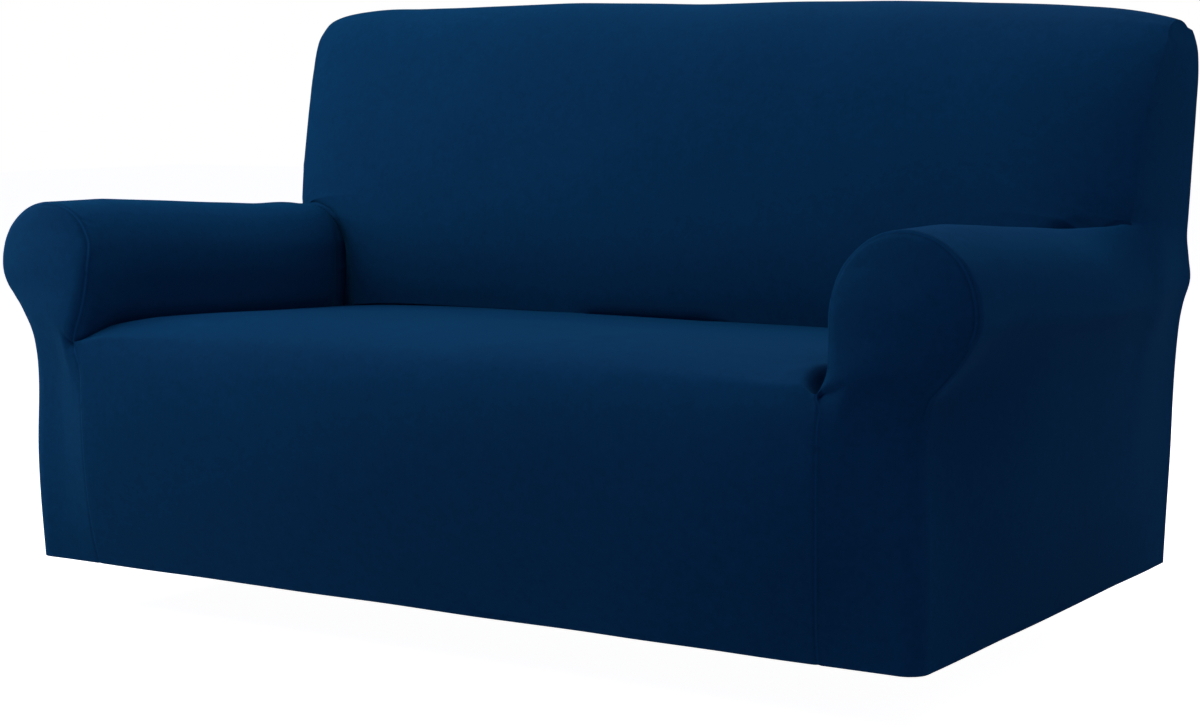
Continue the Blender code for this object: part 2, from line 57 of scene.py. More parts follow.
ORIGIN = np.array((0.0, 0.800, 0.856))   # just under the top's cloth, in the cover's x, y and z

DETAIL = 7                         # mesh steps for each step of the tables
HALF_WIDTH = 0.750                 # middle to the outer side, at the hem
DEPTH = 0.880                      # arm front to the rear face
HEM_RETURN = 0.026                 # how far the hem is turned in under the sofa
HEM_RISE = 0.003                   # the turned edge lies this much above the fold
REAR_CORNER = 0.020                # radius of the upright rear corners
REAR_SEAM_X = 0.060                # from the outer side to the seam on the rear face

ROLL_X = 0.7225                    # middle of the arm's roll
ROLL_Z = 0.4555
ROLL_RADIUS = 0.098
SCROLL_START = 130                 # angles on the roll between which the scroll's front has its top
SCROLL_END = 40
SEAM_ANGLE = 62                    # where the side seam of the back starts on the roll
ROLL_DROP_START = 0.12             # from here to the back the roll slopes down
ROLL_SLOPE = 0.066
TUCK_DEPTH = 0.32                  # over this depth the side comes out from below the scroll
TUCK_LEFT = 0.25                   # behind it, how far it still keeps to the scroll's outline
BLEND_START = 0.40                 # from here on the roll leads over to the side of the back
FRONT_STEP = 0.008                 # from the front seam to the first section behind it
CORNER_RADIUS = 0.028              # rounding of the upright front corner below the scroll
SCROLL_PUFF = 0.012                # how far the arm front swells between its seams
PUFF_MARGIN = 0.030                # from a seam to where most of that is reached
PUFF_HEIGHTS = (0.30, 0.40)        # it starts and is full at these heights
CREVICE_OUT = 0.002                # the seat's seam lies this far outside the arm's inner face
CREVICE_LEFT = 0.25                # and this part of it is left half way up the inner face
SLANT_START = 0.30                 # behind this the arm's stations take on the slant of the back
FRONT_STATIONS = 2                 # stations over which the front seam's unevenness dies out
SEAM_LIFT_HEIGHTS = (0.20, 0.35)   # where the apron's seam goes over to the rounded edge of the arm
SEAM_LIFT_SHARE = 0.30             # part of the arm front's width over which it does so

# Height of the seam between the seat and the inside of the arm
CREVICE = (  # y, z
    (-0.040, 0.350),
    (0.010, 0.361),
    (0.050, 0.3685),
    (0.100, 0.3700),
    (0.170, 0.3680),
    (0.250, 0.3645),
    (0.340, 0.3610),
    (0.430, 0.3580),
    (0.520, 0.3540),
    (0.600, 0.3500),
)

# Outer side of the arm below its roll, from the roll down to the hem
SIDE_ROWS = (  # z, x on the scroll's outline, x on the rear corner, edge radius in front, steps
    (0.400, 0.7930, 0.7715, 0.014, 1),
    (0.376, 0.7725, 0.7670, 0.012, 1),
    (0.352, 0.7575, 0.7645, 0.016, 1),
    (0.315, 0.7505, 0.7620, 0.024, 1),
    (0.160, 0.7500, 0.7560, 0.028, 2),
    (0.000, 0.7500, 0.7500, 0.028, 2),
)

# The roll's rows: in front on the scroll, where they reach the back, and on the rear corner
ROLL_ROWS = (  # angle, y in front, edge radius there, x, z, y at the back's seam, corner's x, z
    (180, -0.019, 0.018, 0.6235, 0.4260, 0.600, None, None),
    (155, -0.005, 0.012, 0.6285, 0.4700, 0.600, None, None),
    (130, 0.000, 0.010, 0.6530, 0.5060, 0.603, None, None),
    (110, 0.000, 0.008, 0.6860, 0.5225, 0.610, None, None),
    (90, 0.000, 0.008, 0.7250, 0.5270, 0.620, None, None),
    (62, 0.000, 0.009, 0.7690, 0.5300, 0.655, 0.7760, 0.5330),
    (40, 0.000, 0.012, 0.7910, 0.5010, 0.655, 0.7745, 0.4980),
    (15, 0.000, 0.017, 0.8030, 0.4620, 0.655, 0.7780, 0.4660),
    (-12, 0.000, 0.018, 0.8040, 0.4270, 0.655, 0.7810, 0.4360),
)
ROLL_STEPS = 2                     # mesh steps from one of these rows to the next
INNER_ROWS = (  # y in front and edge radius, at the seat's corner and half way up the inner face
    (-0.040, 0.030),
    (-0.027, 0.025),
)

# Depth stations of the arm and the seat behind the front seam
STATIONS = (0.050, 0.100, 0.170, 0.250, 0.340, 0.430, 0.520, 0.582, 0.600)

# Seam between the apron and the arm front, from the hem up to the corner of the seat, and the
# middle of the apron at the same rows
APRON_ROWS = (  # x, y, z of the seam, y and z in the middle
    (0.6200, 0.000, 0.000, 0.000, 0.000),
    (0.6220, -0.016, 0.060, -0.022, 0.065),
    (0.6240, -0.030, 0.130, -0.041, 0.140),
    (0.6250, -0.037, 0.210, -0.050, 0.215),
    (0.6255, -0.038, 0.275, -0.047, 0.280),
    (0.6275, -0.036, 0.325, -0.033, 0.328),
    (0.6350, -0.031, 0.350, -0.010, 0.358),
)

# Middle of the seat at the arm's depth stations
SEAT_MIDDLE = (  # y, z
    (0.022, 0.3745),
    (0.060, 0.3825),
    (0.108, 0.3855),
    (0.172, 0.3845),
    (0.250, 0.3810),
    (0.340, 0.3760),
    (0.430, 0.3710),
    (0.520, 0.3660),
    (0.582, 0.3625),
    (0.600, 0.3610),
)

# Side seam of the back, from the roll up to the top corner
BACK_SEAM = (  # x, y, z of the seam, x and z of the same row on the rear corner
    (0.7685, 0.668, 0.600, 0.7800, 0.602),
    (0.7725, 0.688, 0.685, 0.7845, 0.688),
    (0.7795, 0.712, 0.752, 0.7860, 0.755),
    (0.7830, 0.734, 0.796, 0.7835, 0.788),
    (0.7790, 0.758, 0.822, 0.7755, 0.818),
)

# Side edge of the back's top, behind the top corner, up to the start of the rear corner
TOP_SIDE = (  # x, y, z
    (0.7780, 0.790, 0.8320),
    (0.7775, 0.820, 0.8290),
    (0.7755, 0.850, 0.8180),
)
TOP_SIDE_REAR_DROP = 0.012         # the edge falls by this much round the rear corner
SIDE_COLUMNS = 3                   # columns from the back's side seam to the rear corner
CORNER_COLUMNS = 3                 # columns round the rear corner

# Middle of the inside back: beside the arm's roll, beside the side seam, and over the top
BACK_MIDDLE_LOW = (  # y, z
    (0.600, 0.361),
    (0.593, 0.395),
    (0.589, 0.430),
    (0.588, 0.462),
    (0.590, 0.492),
    (0.594, 0.520),
    (0.599, 0.545),
    (0.605, 0.572),
)
BACK_MIDDLE_HIGH = (  # y, z
    (0.620, 0.628),
    (0.642, 0.695),
    (0.668, 0.757),
    (0.697, 0.805),
    (0.727, 0.837),
)
BACK_MIDDLE_TOP = (  # y, z
    (0.750, 0.8510),
    (0.775, 0.8580),
    (0.800, 0.8590),
    (0.823, 0.8575),
    (0.845, 0.8510),
    (0.862, 0.8400),
    (0.873, 0.8240),
)

# Uneven top edge of the back: a shallow dip in the middle, the right-hand end a little lower
TOP_UNEVEN = (  # x, height added
    (-0.790, 0.017),
    (-0.700, 0.010),
    (-0.600, 0.004),
    (-0.500, 0.003),
    (-0.260, 0.006),
    (-0.030, -0.001),
    (0.160, 0.000),
    (0.320, -0.002),
    (0.480, -0.009),
    (0.640, -0.013),
    (0.790, -0.012),
)

# Spots where the cloth stands up, sinks in or is drawn aside, fading out over their reach
SPOTS = (  # x, y, z of the middle, reach along x, y and z, move along x, y and z
    (0.590, 0.020, 0.375, 0.030, 0.045, 0.040, 0.000, 0.000, 0.010),      # seat's right corner
    (0.632, 0.010, 0.352, 0.016, 0.030, 0.030, 0.000, 0.000, -0.016),     # pocket beside it
    (0.635, -0.031, 0.350, 0.014, 0.020, 0.014, -0.013, 0.000, 0.002),    # and its lower end
    (0.780, 0.000, 0.385, 0.060, 0.060, 0.055, 0.005, 0.000, -0.011),     # right scroll's underside
    (-0.632, -0.030, 0.350, 0.030, 0.040, 0.040, -0.010, 0.000, -0.008),  # seat's left corner
    (-0.745, 0.005, 0.170, 0.035, 0.035, 0.230, -0.020, -0.004, 0.000),   # left arm's corner
    (0.620, 0.000, 0.000, 0.080, 0.060, 0.130, -0.010, 0.000, 0.000),     # apron's seams at the hem
    (-0.620, 0.000, 0.000, 0.080, 0.060, 0.130, -0.012, 0.000, 0.000),
    (-0.770, 0.655, 0.530, 0.040, 0.060, 0.040, 0.000, 0.000, -0.012),    # left arm at the back
    (0.722, 0.615, 0.525, 0.030, 0.040, 0.040, 0.000, 0.000, -0.011),     # right arm at the back
    (-0.800, 0.060, 0.460, 0.050, 0.100, 0.080, -0.016, 0.000, 0.000),    # left roll, fuller
)

REAR_LEAVE = 0.12                  # part of its height over which the rear leaves the uneven top
SEAT_CROWN = 5.0                   # the higher, the nearer its seams a panel reaches its middle
BACK_CROWN = 11.0                  # the same on the inside back
UNEVEN_HEIGHTS = (0.70, 0.83)      # the top's unevenness starts and is full at these heights

# Columns of the wide panels, as parts of the half width, from the side seam to the middle
COLUMN_SHARES = (0.0, 0.03, 0.08, 0.17, 0.31, 0.50, 0.74, 1.0)


# -------- details of the cloth, metres
WELD_STEPS = 2e5                   # points closer than the inverse of this are one
LEVEL = 1e-5                       # lower than this is the hem's fold
TINY = 1e-20                       # keeps a vector of no length from dividing by 0
SHARP_ANGLE = math.radians(50)     # an edge that turns more than this is shaded sharp
EVENING = (0.5, -0.53)             # a round of evening out, and its way back that keeps the size
EVENING_ROUNDS = 12
SEAM_SHARES = 4                    # places taken on each mesh step of a seam

UNDULATION = 0.0011                # soft waves of the stretched cloth
UNDULATION_SIZE = 0.16
PUCKER = 0.35                      # how unevenly a seam is drawn together
PUCKER_SIZE = 0.012
SCROLL_SEAM_HEIGHTS = (0.300, 0.345)   # above this the arm front's seam stands out
LOWER_SEAM = 0.08                  # and below it only this much is left
SEAM_RIDGE = 0.0009                # on the arm's side of that seam
SEAM_RIDGE_AT = 0.0020
SEAM_RIDGE_WIDTH = 0.0018
SEAM_GROOVE = 0.0006               # on the arm front's side
SEAM_GROOVE_AT = 0.0030
SEAM_GROOVE_WIDTH = 0.0030
SEAM_LINES = (  # panels on its two sides, depth of the trough, half its width
    ("seat_and_front", "arm_front", 0.0008, 0.0030),
    ("inside_back", "arm", 0.0008, 0.0035),
    ("outside_back", "arm", 0.0012, 0.0035),
    ("outside_back", "inside_back", 0.0012, 0.0035),
)
SEAM_MARKS = (  # panels on its two sides, how far its sewn line stands out in the relief and as a painted highlight, high up and low down
    ("arm", "arm_front", 1.0, 0.0),
    ("seat_and_front", "arm_front", 0.8, 0.6),
    ("outside_back", "inside_back", 0.8, 0.6),
    ("outside_back", "arm", 0.5, 0.5),
)
OUTER_SIDE = (0.68, 0.74)          # between these half widths, the height at which the lines end
OUTER_SIDE_RISE = 0.10             # goes up by this much
SEAM_MARK_SHARE = 1.5              # a sewn line is a ridge, less a wider and lower moat
SEAM_MARK_WIDTH = 0.0016
SEAM_MOAT_SHARE = 0.7
SEAM_MOAT_WIDTH = 0.0042
SEAM_MARK_RELIEF = 5.0             # of the sewn line in the relief, for one of the loops
SEAM_PAINTED_HIGHLIGHT = 1.2               # and how much of it is painted into the colour: a painted highlight on the ridge, painted shade in the moat
SEAM_FAR = 0.1                     # all that is farther from a seam counts as this far
MARK_LABELS = ("seam_away", "seam_stands")   # what the knit reads at each point of the mesh
CREVICES = (  # panels on its two sides, which give way, depth, reach, deepens along axis, from, to
    ("inside_back", "arm", "both", 0.016, 0.009, 2, 0.60, 0.38),
    ("inside_back", "arm", "arm", 0.012, 0.035, 2, 0.54, 0.42),
    ("seat_and_front", "arm", "both", 0.008, 0.008, 1, -0.02, 0.06),
    ("seat_and_front", "inside_back", "both", 0.006, 0.006, 1, 0.40, 0.50),
)
DENTS = (  # x, y, z of the middle, reach along x, y and z, move along x, y and z, with a crisp rim
    (0.614, 0.010, 0.357, 0.016, 0.034, 0.060, 0.000, 0.000, -0.024),     # pocket at the seat
    (0.705, 0.616, 0.522, 0.050, 0.010, 0.014, 0.000, 0.003, -0.005),     # behind the right roll
)
CREASE_TAPER = 0.7                 # the lower, the blunter the ends of a crease
CREASES = (  # half its width, height (a trough is below 0), places along it
    (0.0050, -0.0018, ((0.7745, 0.775, 0.818), (0.7785, 0.746, 0.800), (0.7835, 0.767, 0.775))),
    (0.0020, -0.0010, ((0.7750, 0.714, 0.755), (0.7775, 0.708, 0.735))),
    (0.0020, 0.0010, ((0.7710, 0.713, 0.752), (0.7725, 0.706, 0.734))),
    (0.0030, -0.0012, ((0.7655, 0.653, 0.532), (0.7770, 0.648, 0.522), (0.7860, 0.643, 0.510))),
    (0.0045, 0.0018, ((-0.652, 0.023, 0.523), (-0.638, 0.012, 0.504), (-0.631, 0.000, 0.482),
                      (-0.630, -0.010, 0.465))),
    (0.0030, -0.0020, ((-0.660, 0.004, 0.530), (-0.648, 0.022, 0.520))),
    (0.0060, -0.0010, ((-0.646, -0.032, 0.350), (-0.629, -0.036, 0.318), (-0.628, -0.037, 0.258))),
    (0.0025, 0.0018, ((0.598, 0.030, 0.371), (0.598, 0.013, 0.368), (0.605, -0.010, 0.361),
                      (0.6165, -0.030, 0.351), (0.622, -0.033, 0.341), (0.6254, -0.037, 0.311))),
)

# -------- looks
DARK_BLUE = (0.0018, 0.0260, 0.0770)
LIGHT_BLUE = (0.0032, 0.0430, 0.1220)
ROUGHNESS = 0.88
SPECULAR = 0.02
SHEEN = 0.10
SHEEN_ROUGHNESS = 0.45
SHEEN_TINT = (0.02, 0.50, 1.0)
TONES = (  # size of a noise's spots, its detail, how much of it is in the tone
    (0.220, 2.0, 0.45),            # clouds
    (0.006, 3.0, 0.65),            # mottling
    (0.015, 2.0, 0.60),            # patches
)
KNIT_TONE = 0.25                   # how much of the loops is in the tone
TONE_SHIFT = -0.40                 # keeps the mean of all these near the middle
FIBRE_SIZE = 0.0006
FIBRE_DETAIL = 2.0
FIBRE_SHARE = 0.6                  # of the fibres in the relief, for one of the loops
WAVE_PERIOD = math.pi / 10         # a wave texture's own length of one band at scale 1
WALE_WIDTH = 0.0011
COURSE_HEIGHT = 0.0009
LOOP_DISTORTION = 0.6
LOOP_DETAIL = 1.0
BUMP_STRENGTH = 0.5
KNIT_RELIEF = 0.0002

FLOOR_HEIGHT = -0.935              # the sofa's legs reach 79 mm below the hem
FLOOR_SIZE = 30.0
FLOOR_COLOUR = (0.86, 0.86, 0.86)
FLOOR_ROUGHNESS = 0.9
FLOOR_GLOW = 0.98                  # added where the floor is seen, so that it is nearly white
WHITE = (1.0, 1.0, 1.0)
AMBIENT = (0.004, 0.008, 0.094)    # the shadows are bluer than the lit cloth

LIGHTS = (  # name, place, power in watts
    ("key", (-0.6, -1.6, 1.7), 17.3),
    ("left", (-1.6, -1.2, 0.4), 17.5),
    ("fill", (1.5, -1.2, 1.5), 13.5),
    ("top", (0.0, 0.7, 1.6), 16.5),
    ("right", (1.6, 0.5, 0.0), 1.3),
    ("rear", (-0.4, 2.4, 0.2), 16.0),
)
LIGHT_WIDTH = 1.4
LIGHTS_AIM = (0.0, -0.3, -0.4)

CAMERA_PLACE = (2.0053, -3.4670, -0.1241)
CAMERA_YAW = 0.5731                # radians to the left of straight ahead
CAMERA_PITCH = 0.1154              # radians downwards
CAMERA_ROLL = -0.0036
CAMERA_LENS = 72.789
CAMERA_SENSOR = 36.0


# -------- curves
def smooth(value):
    """0 below 0, 1 above 1, and a soft step in between."""
    t = np.clip(value, 0.0, 1.0)
    return t * t * (3.0 - 2.0 * t)


def through(rows, steps=None):
    """Points on a smooth curve through the rows, with so many mesh steps from row to row."""
    rows = np.asarray(rows, float)
    spans = len(rows) - 1
    steps = steps or [1] * spans
    length = np.linalg.norm(np.diff(rows, axis=0), axis=1)
    slope = np.diff(rows, axis=0) / length[:, None]
    tangent = np.vstack([slope[:1], slope[-1:]])
    if spans > 1:
        before = length[:-1, None]
        after = length[1:, None]
        inner = (slope[:-1] * after + slope[1:] * before) / (before + after)
        tangent = np.vstack([slope[:1], inner, slope[-1:]])
    points = [rows[0]]
    for i in range(spans):
        count = steps[i] * DETAIL
        for k in range(1, count + 1):
            t = k / count
            reach = tangent[i] * t * (1 - t) ** 2 + tangent[i + 1] * t * t * (t - 1)
            ends = rows[i] * (1 + 2 * t) * (1 - t) ** 2 + rows[i + 1] * t * t * (3 - 2 * t)
            points.append(ends + reach * length[i])
    return np.array(points)


def ease_out(value):
    """From 0 to 1, fast at first and slow at the end."""
    return 1.0 - (1.0 - value) ** 3


def fade(value, ends):
    """Soft step from 0 at the first end to 1 at the second."""
    return smooth((value - ends[0]) / (ends[1] - ends[0]))


def unit(vectors):
    """The vectors at length 1."""
    return vectors / (np.linalg.norm(vectors, axis=1)[:, None] + TINY)


def between(values, steps=None):
    """The values with the steps between them filled in evenly."""
    values = np.asarray(values, float)
    steps = steps or [1] * (len(values) - 1)
    places = np.concatenate([[0], np.cumsum(steps)]) * DETAIL
    return np.interp(np.arange(places[-1] + 1), places, values)


def value_at(table, where):
    """Second column of a table at places in its first column."""
    table = np.asarray(table, float)
    return np.interp(where, table[:, 0], table[:, 1])


# -------- the arm panel
FIRST_ROLL_ROW = 2                 # after the crevice and the inner face
SECTION_STEPS = [1, 1] + [ROLL_STEPS] * (len(ROLL_ROWS) - 1) + [row[4] for row in SIDE_ROWS]
EDGE_RADIUS = between(
    [row[1] for row in INNER_ROWS] + [row[2] for row in ROLL_ROWS] + [row[3] for row in SIDE_ROWS],
    SECTION_STEPS)
FRONT_PULL = between(
    [row[0] for row in INNER_ROWS] + [row[1] for row in ROLL_ROWS] + [0.0] * len(SIDE_ROWS),
    SECTION_STEPS)
END_Y = between(
    [ROLL_ROWS[0][5]] * 2 + [row[5] for row in ROLL_ROWS] + [ROLL_ROWS[-1][5]] * len(SIDE_ROWS),
    SECTION_STEPS)
SEAM_TURN = math.radians(45)       # the front seam lies half way round the edge


def roll_row(angle):
    """Section row at an angle of the roll."""
    return FIRST_ROLL_ROW + [row[0] for row in ROLL_ROWS].index(angle)


def place(row):
    """Grid row of a section row."""
    return sum(SECTION_STEPS[:row]) * DETAIL


def arm_section(depth, crevice_z):
    """The arm's section at one depth as (x, z): crevice, inner face, roll, outer side, hem."""
    drop = ROLL_SLOPE * max(0.0, depth - ROLL_DROP_START)
    to_back = fade(depth, (BLEND_START, STATIONS[-1]))
    tuck = 1.0 - (1.0 - TUCK_LEFT) * smooth(depth / TUCK_DEPTH)
    rows = []
    for (angle, _, _, end_x, end_z, _, _, _) in ROLL_ROWS:
        turn = math.radians(angle)
        x = ROLL_X + ROLL_RADIUS * math.cos(turn)
        z = ROLL_Z - drop + ROLL_RADIUS * math.sin(turn)
        rows.append((x + (end_x - x) * to_back, z + (end_z - z) * to_back))
    inner_x, inner_z = rows[0]
    widest_x, widest_z = rows[-1]
    for (z, scroll_x, _, _, _) in SIDE_ROWS:
        straight_x = HALF_WIDTH + (widest_x - HALF_WIDTH) * z / widest_z
        rows.append((straight_x + (scroll_x - straight_x) * tuck, z))
    crevice = (inner_x + CREVICE_OUT, crevice_z)
    inner = (inner_x + CREVICE_OUT * CREVICE_LEFT, (crevice_z + inner_z) / 2)
    return through([crevice, inner] + rows, SECTION_STEPS)


def into_arm(section):
    """Unit normals of an (x, z) section, pointing into the arm."""
    along = np.gradient(section, axis=0)
    return unit(np.stack([along[:, 1], -along[:, 0]], axis=1))


def arm_over_roll():
    """Grid [depth][section row] from the front seam to the back, over the roll to the hem."""
    depths = between((0.0, FRONT_STEP) + STATIONS)
    grid = []
    for i, depth in enumerate(depths):
        station = i / DETAIL
        turn = SEAM_TURN * max(0.0, 1.0 - station)
        inset = EDGE_RADIUS * (1.0 - math.cos(turn))
        if station < 1.0:
            y = FRONT_PULL + EDGE_RADIUS * (1.0 - math.sin(turn))
        else:
            y = depth + (END_Y - STATIONS[-1]) * fade(depth, (SLANT_START, STATIONS[-1]))
            left_over = 1.0 - fade(station, (1.0, 1.0 + FRONT_STATIONS))
            y = y + (EDGE_RADIUS + FRONT_PULL - FRONT_STEP) * left_over
        section = arm_section(depth, value_at(CREVICE, y[0]))
        section = section + into_arm(section) * inset[:, None]
        grid.append(np.stack([section[:, 0], y, section[:, 1]], axis=1))
    return np.array(grid)


def round_rear_corner(front, side, ease):
    """One row from its front point along the side and round the rear corner to the rear seam."""
    points = []
    for share in between([0.0, 1.0], [SIDE_COLUMNS]):
        x_share = ease(share)
        points.append((
            front[0] + (side[0] - front[0]) * x_share,
            front[1] + (DEPTH - REAR_CORNER - front[1]) * share,
            front[2] + (side[1] - front[2]) * share,
        ))
    for turn in between([0.0, math.pi / 2], [CORNER_COLUMNS])[1:]:
        points.append((
            side[0] - REAR_CORNER * (1.0 - math.cos(turn)),
            DEPTH - REAR_CORNER * (1.0 - math.sin(turn)),
            side[1],
        ))
    for share in between([0.0, 1.0])[1:]:
        points.append((side[0] - REAR_CORNER - (REAR_SEAM_X - REAR_CORNER) * share, DEPTH, side[1]))
    return np.array(points)


def arm_rear_side(over_roll):
    """Grid [section row][column] behind the back's side seam, from the seam's foot to the hem."""
    rear = [(row[6], row[7]) for row in ROLL_ROWS if row[6]]
    rear += [(row[2], row[0]) for row in SIDE_ROWS]
    rear = through(rear, SECTION_STEPS[roll_row(SEAM_ANGLE):])
    fronts = over_roll[-1][place(roll_row(SEAM_ANGLE)):]
    return np.array([round_rear_corner(f, s, smooth) for f, s in zip(fronts, rear)])


def side_of_back(rear_side):
    """Grid [row][column] of the back's side above the arm, up to the side edge of the top."""
    foot = rear_side[0]
    seam = through([foot[0]] + [row[:3] for row in BACK_SEAM])
    foot_side = foot[SIDE_COLUMNS * DETAIL]
    rear = through([(foot_side[0], foot_side[2])] + [row[3:] for row in BACK_SEAM])
    grid = [round_rear_corner(f, s, ease_out) for f, s in zip(seam, rear)]
    grid[0] = foot
    top = grid[-1]
    along = SIDE_COLUMNS * DETAIL
    top[:along + 1] = through((top[0],) + TOP_SIDE)
    top[along:, 2] -= TOP_SIDE_REAR_DROP * smooth(np.linspace(0.0, 1.0, len(top) - along))
    return np.array(grid)


def turned_in(fold, direction):
    """Grid of the hem that is turned in under the sofa, from its fold to its raw edge."""
    share = between([0.0, 1.0])[:, None, None]
    reach = np.column_stack([direction * HEM_RETURN, np.full(len(fold), HEM_RISE)])
    return fold[None] + reach[None] * share


def hem_direction_over_roll(count):
    """Level directions under the sofa along the outer side, turning through the front corner."""
    turn = SEAM_TURN * np.clip(1.0 - np.arange(count) / DETAIL, 0.0, 1.0)
    return np.stack([-np.cos(turn), np.sin(turn)], axis=1)


def hem_direction_rear():
    """Level directions under the sofa behind that, turning round the rear corner."""
    turn = between([0.0, 0.0, math.pi / 2, math.pi / 2], [SIDE_COLUMNS, CORNER_COLUMNS, 1])
    return np.stack([-np.cos(turn), -np.sin(turn)], axis=1)


# -------- the arm front
def apron_seam(corner):
    """Seam between the apron and the arm front, up to the corner of the seat."""
    return through([row[:3] for row in APRON_ROWS[:-1]] + [corner])


def patch(left, right, bottom, top):
    """Coons patch [along][across] between four edges that meet at its corners."""
    t = np.linspace(0.0, 1.0, len(left))[:, None, None]
    s = np.linspace(0.0, 1.0, len(bottom))[None, :, None]
    sides = left[:, None] * (1 - s) + right[:, None] * s
    ends = bottom[None] * (1 - t) + top[None] * t
    low = (1 - s) * bottom[0] + s * bottom[-1]
    high = (1 - s) * top[0] + s * top[-1]
    return sides + ends - ((1 - t) * low + t * high)


def arm_front(over_roll):
    """Grid [along][across] of the scroll-topped arm front, from the hem's fold to the top."""
    front = over_roll[0]
    flat = front.copy()
    flat[:, 1] -= EDGE_RADIUS * (1 - math.sin(SEAM_TURN))
    first = place(roll_row(SCROLL_START))
    last = place(roll_row(SCROLL_END))
    seam = apron_seam(front[0])
    seam_flat = seam.copy()
    seam_flat[:, 1] += (flat[0] - front[0])[1] * fade(seam[:, 2], SEAM_LIFT_HEIGHTS)
    left = np.vstack([seam_flat[:-1], flat[:first + 1]])
    right = flat[last:][::-1]
    top = flat[first:last + 1]
    share = between([0.0, 1.0], [(last - first) // DETAIL])[:, None]
    bottom = left[0] * (1 - share) + right[0] * share
    grid = patch(left, right, bottom, top)
    away = np.linalg.norm(grid[:, :, None, ::2] - flat[None, None, :, ::2], axis=3)
    nearest = away.argmin(axis=2)
    away = away.min(axis=2)
    radius = EDGE_RADIUS[nearest]
    left_over = np.clip(radius * math.cos(SEAM_TURN) - away, 0.0, None)
    grid[:, :, 1] += radius - np.sqrt(radius ** 2 - left_over ** 2)
    puff = SCROLL_PUFF * (1 - np.exp(-away / PUFF_MARGIN)) * fade(grid[:, :, 2], PUFF_HEIGHTS)
    grid[:, :, 1] -= puff
    lift = (seam - seam_flat)[:-1, 1]
    grid[:len(lift), :, 1] += lift[:, None] * (1.0 - smooth(share[:, 0] / SEAM_LIFT_SHARE))
    grid[:, 0] = np.vstack([seam[:-1], front[:first + 1]])
    grid[:, -1] = front[last:][::-1]
    grid[-1] = front[first:last + 1]
    return grid


# -------- the wide panels
def columns():
    """Shares from the left seam (-1) to the right seam (+1)."""
    half = 1.0 - between(COLUMN_SHARES)
    return np.concatenate([-half, half[::-1][1:]])


def wide_panel(right_edge, middle, crown):
    """Grid [row][column] from the left seam over the middle profile to the right seam."""
    share = columns()
    rise = 1.0 - np.abs(share) ** crown
    grid = np.empty((len(right_edge), len(share), 3))
    grid[:, :, 0] = right_edge[:, None, 0] * share
    for axis in (1, 2):
        edge = right_edge[:, None, axis]
        grid[:, :, axis] = edge + (middle[:, None, axis - 1] - edge) * rise
    return grid


def seat_and_front(over_roll):
    """Grid [row][column] from the apron's hem over the rounded front edge to the back."""
    seam = apron_seam(over_roll[0][0])
    edge = np.vstack([seam, over_roll[1:, 0]])
    middle = through([row[3:] for row in APRON_ROWS] + list(SEAT_MIDDLE))
    return wide_panel(edge, middle, SEAT_CROWN)


def inside_back(over_roll, side):
    """Grid [row][column] from the seat up the back and over its top."""
    seam = roll_row(SEAM_ANGLE)
    edge = np.vstack([over_roll[-1][:place(seam) + 1], side[1:, 0], side[-1][1:]])
    steps = SECTION_STEPS[:seam] + [1] * (len(BACK_MIDDLE_HIGH) + len(BACK_MIDDLE_TOP))
    middle = through(BACK_MIDDLE_LOW + BACK_MIDDLE_HIGH + BACK_MIDDLE_TOP, steps)
    return wide_panel(edge, middle, BACK_CROWN)


def outside_back(side, rear_side, top_row):
    """Flat rear face: its first row is the inside back's last one, which it leaves smoothly."""
    edge = np.vstack([side[::-1, -1], rear_side[1:, -1]])
    share = columns()
    grid = np.repeat(edge[:, None], len(share), axis=1)
    grid[:, :, 0] *= share
    fall = (edge[0, 2] - edge[:, 2]) / edge[0, 2]
    leave = (1 - smooth(fall / REAR_LEAVE))[:, None, None]
    return grid + (top_row - grid[0])[None] * leave


# -------- all panels
def uneven(points):
    """The cloth's unevenness: the top edge of the back, and the spots."""
    moved = points.copy()
    moved[..., 2] += value_at(TOP_UNEVEN, points[..., 0]) * fade(points[..., 2], UNEVEN_HEIGHTS)
    for spot in np.array(SPOTS):
        away = (points - spot[0:3]) / spot[3:6]
        moved += np.exp(-(away ** 2).sum(axis=-1))[..., None] * spot[6:9]
    return moved


def mirrored(grids):
    """The left one of a pair of panels, its quads facing outwards again."""
    return [(grid * np.array((-1.0, 1.0, 1.0)))[:, ::-1] for grid in grids]


def turned(grid):
    """The same grid with its rows as columns."""
    return grid.transpose(1, 0, 2)


def panels():
    """Each panel's grids of points, their rows and columns so that the quads face outwards."""
    roll = arm_over_roll()
    rear = arm_rear_side(roll)
    side = side_of_back(rear)
    front = arm_front(roll)
    seat = seat_and_front(roll)
    inner = inside_back(roll, side)
    outer = outside_back(side, rear, inner[-1])
    hem_roll = turned_in(roll[:, -1], hem_direction_over_roll(len(roll)))
    hem_rear = turned_in(rear[-1], hem_direction_rear())
    ahead = np.array((0.0, 1.0))
    hem_seat = turned_in(seat[0], np.tile(ahead, (seat.shape[1], 1)))
    hem_outer = turned_in(outer[-1], np.tile(-ahead, (outer.shape[1], 1)))
    corner = np.clip(1.0 - (HALF_WIDTH - front[0][:, 0]) / CORNER_RADIUS, 0.0, None)
    hem_front = turned_in(front[0], np.stack([-corner, np.sqrt(1.0 - corner ** 2)], axis=1))
    arm = [roll, turned(rear), turned(side[::-1]), turned(hem_roll), turned(hem_rear)]
    arm_face = [front, hem_front[::-1]]
    return {
        "seat_and_front": [seat, hem_seat[::-1]],
        "inside_back": [inner],
        "outside_back": [outer, hem_outer],
        "arm_right": arm,
        "arm_left": mirrored(arm),
        "arm_front_right": arm_face,
        "arm_front_left": mirrored(arm_face),
    }


# -------- one surface of all panels
def kind_of(name):
    """A panel's name without its side."""
    return name.removesuffix("_right").removesuffix("_left")


